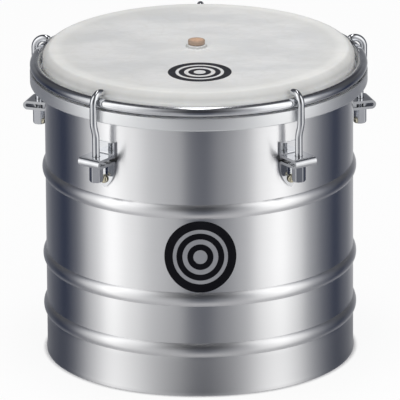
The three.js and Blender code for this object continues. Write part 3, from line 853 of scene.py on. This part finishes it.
def nut_mesh():
    """Hexagon with turned corners at both ends and a threaded bore."""
    low, high, steps = NUT_LOW, NUT_TOP, 180
    corner = NUT_FLATS / 2 / math.cos(math.pi / 6)
    bore, thread, mouth = 3.3, 0.28, 0.55
    blunt, low_turned, high_turned, high_slope = 0.12, 1.05, 0.45, 1.3
    outside = [low + v for v in (0, 0.12, 0.3, 0.5, 0.7, 0.9, 1.1, 1.35, 1.6, 3.5, 6.5, 9.5)]
    outside += [high - v for v in (1.0, 0.6, 0.4, 0.25, 0.12, 0)]
    inside = [high - 0.3, *np.arange(high - 0.5, low + 0.4, -0.125), low + 0.3]

    def threaded(z, angle):
        wave = (z - low - angle / TAU) % 1.0
        return bore + thread * min(1.0, abs(wave - 0.5) * 2.4)
    verts = []
    for z in outside:
        cone = corner - max(blunt, low_turned - (z - low), high_turned - high_slope * (high - z))
        verts += level_ring(z, steps, lambda a: min(hexagon(NUT_FLATS, a), cone))
    verts += level_ring(high, steps, lambda a: bore + mouth)
    for z in inside:
        verts += level_ring(z, steps, lambda a: threaded(z, a))
    verts += level_ring(low, steps, lambda a: bore + mouth)
    return verts, grid_faces(len(outside) + len(inside) + 2, steps, True, True)


def lug_rows():
    """Rows of the folded strip below its top: (u, z, half width) down its middle line."""
    bend, taper_drop, full_share, end_share, taper_rows = 2.2, 2.5, 0.62, 0.985, 30
    nose_r = (LUG_TOP - LUG_UNDER - LUG_THICK) / 2
    nose_u = LUG_OUT - LUG_THICK / 2 - nose_r
    root = LEG_MIDDLE + bend
    upper, lower = LUG_TOP - LUG_THICK / 2, LUG_UNDER + LUG_THICK / 2
    arm = arc((root, upper + bend), bend, 180, 270, 10)
    arm += [(u, upper) for u in np.linspace(root, nose_u, 12)[1:-1]]
    arm += arc((nose_u, (upper + lower) / 2), nose_r, 90, -90, 20)
    arm += [(u, lower) for u in np.linspace(nose_u, root, 12)[1:-1]]
    arm += arc((root, lower - bend), bend, 90, 180, 10)
    rows = [(u, z, LUG_HALF) for u, z in arm]
    taper = LUG_UNDER - taper_drop
    full = taper + (LUG_TIP - taper) * full_share
    for i in range(1, taper_rows + 1):
        t = end_share * i / taper_rows
        z = (1 - t) ** 2 * taper + 2 * t * (1 - t) * full + t * t * LUG_TIP
        rows.append((LEG_MIDDLE, z, LUG_HALF * (1 - t * t)))
    return rows


def lug_object():
    """A folded strip with a dipped top, a seat cut to the shell, and its two holes."""
    columns, top_rows = 25, 6
    foot, top, dip = LUG_TOP + 1.1, LUG_TOP + 10.4, 1.2
    across = [math.sin(math.pi / 2 * (2 * j / (columns - 1) - 1)) for j in range(columns)]
    verts = []
    for i in range(top_rows):
        t = i / top_rows
        for v in across:
            verts.append((LEG_MIDDLE, v * LUG_HALF, (1 - t) * (top - dip * (1 - v * v)) + t * foot))
    rows = lug_rows()
    verts += [(u, v * half, z) for u, z, half in rows for v in across]
    faces = grid_faces(top_rows + len(rows), columns)
    obj = build("lug_master", verts, faces, LUG_METAL, shift=False)
    solid = obj.modifiers.new("thick", "SOLIDIFY")
    solid.thickness, solid.offset, solid.use_even_offset = LUG_THICK * MM, 0.0, True
    bevel(obj, 0.42, 3)
    finished(obj)
    seat = cylinder("seat", SHELL_R + 0.3, 165, 218, 288)
    hook_hole = cylinder("hole", HOOK_ROD / 2 + 0.5, 190, 206, 48, (HOOK_IN, 0))
    screw_hole = along_radius(cylinder("screw", 2.3, 120, 134, 32))
    cut(obj, seat, hook_hole, screw_hole)
    smooth(obj, 40)
    normals = obj.modifiers.new("normals", "WEIGHTED_NORMAL")
    normals.keep_sharp = True
    return finished(obj)


def screw_object():
    """Pan head with a cross recess, on a plain shank with a pointed-off end."""
    tail, head, shank_r, head_r, edge_z = SCREW_TAIL, LEG_OUT + 0.3, 2.0, 3.6, 0.6
    outline = [(0, tail), (1.3, tail), (1.75, tail + 0.5), (shank_r, tail + 0.9), (shank_r, head - 1.0),
               (shank_r, head), (3.4, head), (3.58, head + 0.15), (head_r, head + edge_z)]
    outline += [(head_r * math.cos(a) ** 0.8, head + edge_z + 2.0 * math.sin(a))
                for a in (0.2, 0.45, 0.7, 0.95, 1.2, 1.4)]
    outline += [(0, head + edge_z + 2.0)]
    obj = build("screw_master", *spindle(outline, 64), SCREW_METAL, shift=False, sharp=40)
    low, high = head + 1.3, head + 4
    corners = ((-1, -1), (1, -1), (1, 1), (-1, 1))
    faces = [(3, 2, 1, 0), (4, 5, 6, 7), (0, 1, 5, 4), (1, 2, 6, 5), (2, 3, 7, 6), (3, 0, 4, 7)]
    bars = []
    for x, y in ((0.48, 2.0), (2.0, 0.48)):
        points = [(sx * x, sy * y, z) for z in (low, high) for sx, sy in corners]
        bars.append(build("bar", points, faces, shift=False))
    cut(obj, *bars)
    bevel(obj, 0.1, 2)
    return smooth(along_radius(finished(obj)), 40)


def washer_mesh():
    """A washer that lies level here; out is its side towards the shell's wall."""
    out, back, bore, rim_r = WASHER_OUT, WASHER_OUT - 1, 2.3, 5
    outline = rounded([(bore, back), (rim_r, back), (rim_r, out), (bore, out)], [0.1, 0.25, 0.25, 0.1], 3)
    return lathe(outline, 72)


def inner_nut_mesh():
    """Small hexagon nut with turned corners and a plain bore."""
    thick, steps, turned, slope, blunt = 3.2, 120, 0.5, 1.4, 0.06
    low, top = INNER_NUT_OUT - thick, INNER_NUT_OUT
    corner = INNER_NUT_FLATS / 2 / math.cos(math.pi / 6)
    edges = (0, 0.15, 0.35, 0.6)
    verts = []
    for z in [low + v for v in edges] + [top - v for v in reversed(edges)]:
        cone = corner - max(blunt, turned - slope * (z - low), turned - slope * (top - z))
        verts += level_ring(z, steps, lambda a: min(hexagon(INNER_NUT_FLATS, a + math.pi / 6), cone), 0)
    for z, r in ((top, 2.5), (top - 0.3, 2.25), (low + 0.3, 2.25), (low, 2.5)):
        verts += level_ring(z, steps, lambda a: r, 0)
    return verts, grid_faces(2 * len(edges) + 4, steps, True, True)


hook = build("hook_master", *hook_mesh(), HOOK_METAL, shift=False, sharp=44)
nut = build("nut_master", *nut_mesh(), NUT_METAL, shift=False, sharp=32)
washer = build("washer_master", *washer_mesh(), INNER_METAL, shift=False)
inner_nut = build("small_nut_master", *inner_nut_mesh(), INNER_METAL, shift=False, sharp=32)
masters = (
    ("claw_hook", hook, "hook", "hook_chrome"),
    ("hexagon_nut", nut, "tension_nut", "nut_chrome"),
    ("folded_lug", lug_object(), "lug", "lug_chrome"),
    ("pan_screw", screw_object(), "lug_screw", "screw_brass"),
    ("flat_washer", along_radius(washer), "screw_washer", "inner_steel"),
    ("small_nut", along_radius(inner_nut), "screw_nut", "inner_steel"),
)
for i in range(5):
    turn = Matrix.Translation((0, AXIS_Y * MM, 0)) @ Matrix.Rotation(math.pi / 2 + i * TAU / 5, 4, "Z")
    for stem, master, cad, slot in masters:
        piece = add(f"{stem}_{i + 1}", master.data)
        piece.matrix_world = turn
        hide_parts(f"{cad}_{i + 1}")
        body = {"hook": "hoop", "tension_nut": f"nut_{i + 1}"}.get(cad, "drum")
        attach(piece, body)
for _, master, _, _ in masters:
    bpy.data.objects.remove(master)


# Stage; lengths in it are metres

def studio_floor():
    """A pale floor, white to the camera but for the soft shadow close round the drum."""
    mesh = bpy.data.meshes.new("floor")
    s = 12.0
    mesh.from_pydata([(-s, -s, 0), (s, -s, 0), (s, s, 0), (-s, s, 0)], [], [(0, 1, 2, 3)])
    floor = add("floor", mesh)
    material, tree, shader = new_tree("pale_floor")
    tree.nodes.remove(shader)
    output = next(n for n in tree.nodes if n.type == "OUTPUT_MATERIAL")
    tone = mix(tree, noise_at(tree, place(tree), 3.0, 3), (0.90, 0.90, 0.90), (0.92, 0.92, 0.92))
    diffuse = node(tree, "BsdfDiffuse", {"Color": tone}).outputs[0]
    white = node(tree, "Emission", {"Color": (1, 1, 1), "Strength": 1.0}).outputs[0]
    camera_ray = node(tree, "LightPath").outputs["Is Camera Ray"]
    across = vector_math(tree, "LENGTH", place(tree, (0, AXIS_Y * MM, 0)))
    share = ramp(tree, across, SHELL_R * MM, (SHELL_R + 4.5) * MM, 0.0, 0.90)
    seen = math_node(tree, "MULTIPLY", camera_ray, share)
    fill(tree, output, {"Surface": node(tree, "MixShader", {0: seen, 1: diffuse, 2: white}).outputs[0]})
    mesh.materials.append(material)
    floor.visible_glossy = False


def studio_world():
    """A plain soft studio: pale panels left and right, dark round the camera, a grey floor below."""
    world = bpy.data.worlds.new("studio")
    bpy.context.scene.world = world
    world.use_nodes = True
    tree = world.node_tree
    tree.nodes.clear()
    output = node(tree, "OutputWorld")
    direction = node(tree, "TexCoord").outputs["Generated"]
    parts = node(tree, "SeparateXYZ", {0: direction}).outputs
    front, up = math_node(tree, "MULTIPLY", parts[1], -1.0), parts[2]
    side = math_node(tree, "ARCTAN2", parts[0], front)
    panels = node(tree, "ValToRGB", {0: math_node(tree, "MULTIPLY_ADD", side, 1 / TAU, 0.5)})
    panels.color_ramp.interpolation = "EASE"
    # Level of the panels by the angle from straight ahead, in degrees
    stops = [(-180, 0.64), (-158, 0.21), (-140, 0.09), (-120, 0.015), (-106, 0.10), (-84, 0.63),
             (-70, 1.15), (-52, 0.80), (-34, 0.54), (-16, 0.44), (-5, 0.12), (5, 0.08), (18, 0.26),
             (34, 0.43), (50, 0.88), (64, 1.10), (78, 0.80), (92, 0.30), (108, 0.11), (124, 0.02),
             (140, 0.13), (180, 0.62)]
    elements = panels.color_ramp.elements
    for n, (angle, level) in enumerate(stops):
        at = (angle + 180) / 360
        element = elements[n] if n < 2 else elements.new(at)
        element.position = at
        cool = 0.02 * max(0.0, 1 - level)
        element.color = (level - 0.4 * cool, level, level + 1.4 * cool, 1)
    around = panels.outputs[0]
    away = math_node(tree, "ABSOLUTE", side)

    def turned(tone, shade, start, end):
        """The tone, turned towards a shade between two angles from straight ahead."""
        return tint(tree, tone, shade, away, math.radians(start), math.radians(end))
    above = scaled(tree, around, ramp(tree, away, math.radians(50), math.radians(10), 1.30, 0.26))
    above = turned(above, (0.08, 0.082, 0.09), 96, 125)
    back = tint(tree, (0.19, 0.195, 0.21), (0.05, 0.05, 0.06), up, 0.28, 0.42)
    above = turned(above, back, 135, 158)
    studio = tint(tree, around, above, up, -0.28, 0.20)
    studio = tint(tree, studio, (0.46, 0.46, 0.475), up, -0.45, -0.92)
    studio = tint(tree, studio, (0.10, 0.10, 0.11), up, 0.78, 0.93)
    # A narrow bright panel ahead and above
    strip = vector_math(tree, "MULTIPLY_ADD", direction, (13.5, 2.3, 0), (0, -0.60, 0))
    strip = ramp(tree, vector_math(tree, "LENGTH", strip), 1.15, 0.9)
    strip = math_node(tree, "MULTIPLY", strip, ramp(tree, up, 0.0, 0.2))
    studio = mix(tree, strip, studio, (3.0, 3.0, 3.0))
    path = node(tree, "LightPath").outputs
    shiny = math_node(tree, "MAXIMUM", path["Is Glossy Ray"], path["Is Transmission Ray"])
    soft = tint(tree, (0.44, 0.44, 0.445), (1.36, 1.36, 1.38), front, 0.0, 0.9)
    lit = mix(tree, shiny, soft, studio)
    seen = mix(tree, path["Is Camera Ray"], lit, (1, 1, 1))
    background = node(tree, "Background", {"Color": seen, "Strength": 1.0})
    fill(tree, output, {"Surface": background.outputs[0]})


def overhead_lamp():
    data = bpy.data.lights.new("overhead", "AREA")
    data.shape, data.size, data.size_y = "RECTANGLE", 0.36, 0.50
    data.energy = 8.0
    obj = add("overhead", data)
    obj.location = (0.0, -0.03, 1.55)
    obj.rotation_mode = "QUATERNION"
    obj.rotation_quaternion = (Vector((0, 0, 0.25)) - obj.location).to_track_quat("-Z", "Y")
    obj.visible_glossy = False


def camera():
    """A long lens far off; the aim point comes at its pixel in the picture."""
    picture_side, aim_pixel_x, aim_pixel_y = 400, 199.55, 202.15
    away, turn, pitch, roll = 6.5, math.radians(0.75), math.radians(18.40), math.radians(-0.362)
    aim = Vector((0.0, AXIS_Y * MM, 0.125))
    data = bpy.data.cameras.new("camera")
    data.sensor_width, data.lens = 36.0, 707.3
    data.clip_start, data.clip_end = 0.1, 60.0
    data.shift_x = (picture_side / 2 - aim_pixel_x) / picture_side
    data.shift_y = (aim_pixel_y - picture_side / 2) / picture_side
    obj = add("camera", data)
    level = math.cos(pitch)
    obj.location = aim + Vector((math.sin(turn) * level, -math.cos(turn) * level, math.sin(pitch))) * away
    look = (aim - obj.location).to_track_quat("-Z", "Y").to_matrix().to_4x4()
    obj.rotation_mode = "QUATERNION"
    obj.rotation_quaternion = (look @ Matrix.Rotation(roll, 4, "Z")).to_quaternion()
    bpy.context.scene.camera = obj


studio_floor()
studio_world()
overhead_lamp()
camera()
bpy.context.scene.view_settings.view_transform = "Standard"
